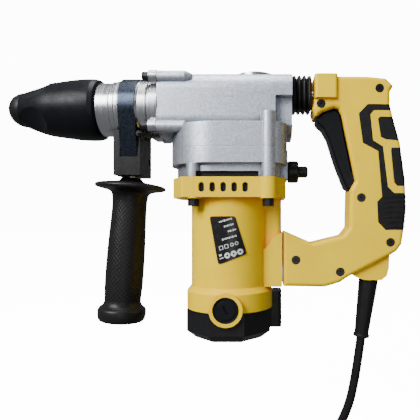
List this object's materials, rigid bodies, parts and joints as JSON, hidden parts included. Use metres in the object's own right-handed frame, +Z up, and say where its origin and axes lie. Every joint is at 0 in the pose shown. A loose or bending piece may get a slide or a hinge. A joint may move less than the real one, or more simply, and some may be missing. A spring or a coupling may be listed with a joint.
{
  "type": "demolition hammer",
  "caption": "Corded L-shaped hammer with a vertical motor, crank and striker mechanism, quick-release bit sleeve, damped rear D-handle, swivelling side handle and coiled mains lead.",
  "frame": {"origin": "centre of the rear D-handle's grip, on the tool's middle plane", "axes": "-X towards the tool bit along the barrel, +X towards the rear handle, +Z up, +Y to the far side"},
  "size_m": [0.3685, 0.1872, 0.3786],
  "materials": {
    "yellow_plastic": "fine-grained moulded nylon",
    "black_plastic": "fine-grained moulded nylon",
    "black_satin": "satin",
    "soft_grip": "soft matte overmould",
    "cast_aluminium": "sand-textured satin casting",
    "turned_aluminium": "turned satin",
    "band_steel": "blued strip",
    "black_steel": "black oxide",
    "bright_steel": "ground",
    "gear_steel": "oiled",
    "lamination_steel": "stacked sheet",
    "copper": "varnished winding",
    "brass": "bare",
    "carbon": "pressed carbon",
    "black_rubber": "moulded",
    "label_black": "printed film",
    "cord_rubber": "smooth sheath",
    "seal_rubber": "moulded"
  },
  "bodies": {
    "machine": {"gear_housing": "cast_aluminium", "crankcase_base": "cast_aluminium", "bearing_plate": "cast_aluminium", "front_housing": "turned_aluminium", "front_bolts": "black_steel", "oil_cap": "turned_aluminium", "motor_housing": "yellow_plastic", "tail_cap": "black_plastic", "brush_caps": "black_satin", "brush_holders": "brass", "carbon_brushes": "carbon", "base_screws": "black_steel", "stator_core": "lamination_steel", "field_coils": "copper", "rating_plate": "label_black", "motor_bearings": "bright_steel", "gear_shaft_bearings": "bright_steel", "spindle_bearings": "bright_steel", "front_seal": "seal_rubber", "damper_links": "bright_steel", "bellows": "black_rubber"},
    "rotor": {"rotor_shaft": "gear_steel", "rotor_core": "lamination_steel", "rotor_windings": "copper", "commutator": "brass", "cooling_fan": "black_plastic"},
    "crank": {"crank_gear": "gear_steel", "crank_shaft": "gear_steel"},
    "intermediate": {"intermediate_gear": "gear_steel", "intermediate_shaft": "gear_steel"},
    "spindle_unit": {"spindle": "gear_steel", "bevel_ring_gear": "gear_steel", "locking_balls": "bright_steel", "sleeve_spring": "bright_steel", "dust_cap": "black_rubber"},
    "sleeve": {"lock_sleeve": "black_satin"},
    "piston_unit": {"piston": "turned_aluminium", "wrist_pin": "bright_steel"},
    "rod": {"connecting_rod": "cast_aluminium"},
    "striker_body": {"striker": "gear_steel"},
    "bolt_body": {"impact_bolt": "gear_steel"},
    "knob": {"mode_knob": "black_plastic"},
    "side_clamp": {"clamp_band": "band_steel", "clamp_block": "black_plastic"},
    "side_handle": {"side_grip": "black_plastic", "side_bolt": "bright_steel"},
    "rear_handle": {"handle_shell_left": "yellow_plastic", "handle_shell_right": "yellow_plastic", "grip_pads": "soft_grip", "handle_screws": "black_steel", "handle_pins": "bright_steel", "switch_body": "black_plastic", "cord_clamp": "black_plastic", "strain_relief": "black_rubber", "cord_tube": "cord_rubber", "cord_coil": "cord_rubber", "coil_tie": "black_rubber", "plug_body": "black_rubber", "plug_pins": "brass"},
    "trigger_body": {"trigger": "black_satin"}
  },
  "joints": [
    {"name": "motor_spin", "type": "hinge", "parent": "machine", "child": "rotor", "pos_m": [-0.14, 0, 0], "axis": [0, 0, 1], "continuous": true},
    {"name": "crank_spin", "type": "hinge", "parent": "machine", "child": "crank", "pos_m": [-0.116, 0, 0], "axis": [0, 0, 1], "continuous": true},
    {"name": "intermediate_spin", "type": "hinge", "parent": "machine", "child": "intermediate", "pos_m": [-0.165, 0, 0], "axis": [0, 0, 1], "continuous": true},
    {"name": "spindle_spin", "type": "hinge", "parent": "machine", "child": "spindle_unit", "pos_m": [-0.3, 0, 0.052], "axis": [1, 0, 0], "continuous": true},
    {"name": "sleeve_slide", "type": "slide", "parent": "spindle_unit", "child": "sleeve", "axis": [1, 0, 0], "range_m": [0, 0.01], "stiffness_N_per_m": 600, "springref_m": -0.008, "deforming": ["sleeve_spring"]},
    {"name": "piston_slide", "type": "slide", "parent": "machine", "child": "piston_unit", "axis": [1, 0, 0], "range_m": [0, 0.016]},
    {"name": "rod_swing", "type": "hinge", "parent": "piston_unit", "child": "rod", "pos_m": [-0.168, 0, 0.052], "axis": [0, 0, 1], "range_deg": [-10, 10]},
    {"name": "striker_slide", "type": "slide", "parent": "machine", "child": "striker_body", "axis": [1, 0, 0], "range_m": [-0.009, 0.004]},
    {"name": "bolt_slide", "type": "slide", "parent": "machine", "child": "bolt_body", "axis": [1, 0, 0], "range_m": [-0.003, 0]},
    {"name": "mode_turn", "type": "hinge", "parent": "machine", "child": "knob", "pos_m": [-0.08, 0, -0.0064], "axis": [1, 0, 0], "range_deg": [-90, 90]},
    {"name": "side_clamp_swing", "type": "hinge", "parent": "machine", "child": "side_clamp", "pos_m": [-0.2303, 0, 0.052], "axis": [1, 0, 0], "range_deg": [-180, 180]},
    {"name": "side_grip_turn", "type": "hinge", "parent": "side_clamp", "child": "side_handle", "pos_m": [-0.2326, 0, 0], "axis": [0.0724, 0, 0.9974], "continuous": true},
    {"name": "handle_damper", "type": "hinge", "parent": "machine", "child": "rear_handle", "pos_m": [-0.084, 0, -0.1006], "axis": [0, 1, 0], "range_deg": [-1, 1], "stiffness_Nm_per_rad": 250, "deforming": ["bellows"]},
    {"name": "trigger_pull", "type": "hinge", "parent": "rear_handle", "child": "trigger_body", "pos_m": [-0.0196, 0, -0.012], "axis": [0, 1, 0], "range_deg": [0, 5], "stiffness_Nm_per_rad": 3, "springref_deg": -2.86}
  ],
  "couplings": [
    {"joint": "crank_spin", "follows": "motor_spin", "ratio": -0.23077},
    {"joint": "intermediate_spin", "follows": "motor_spin", "ratio": -0.21951},
    {"joint": "spindle_spin", "follows": "motor_spin", "ratio": 0.067073}
  ]
}
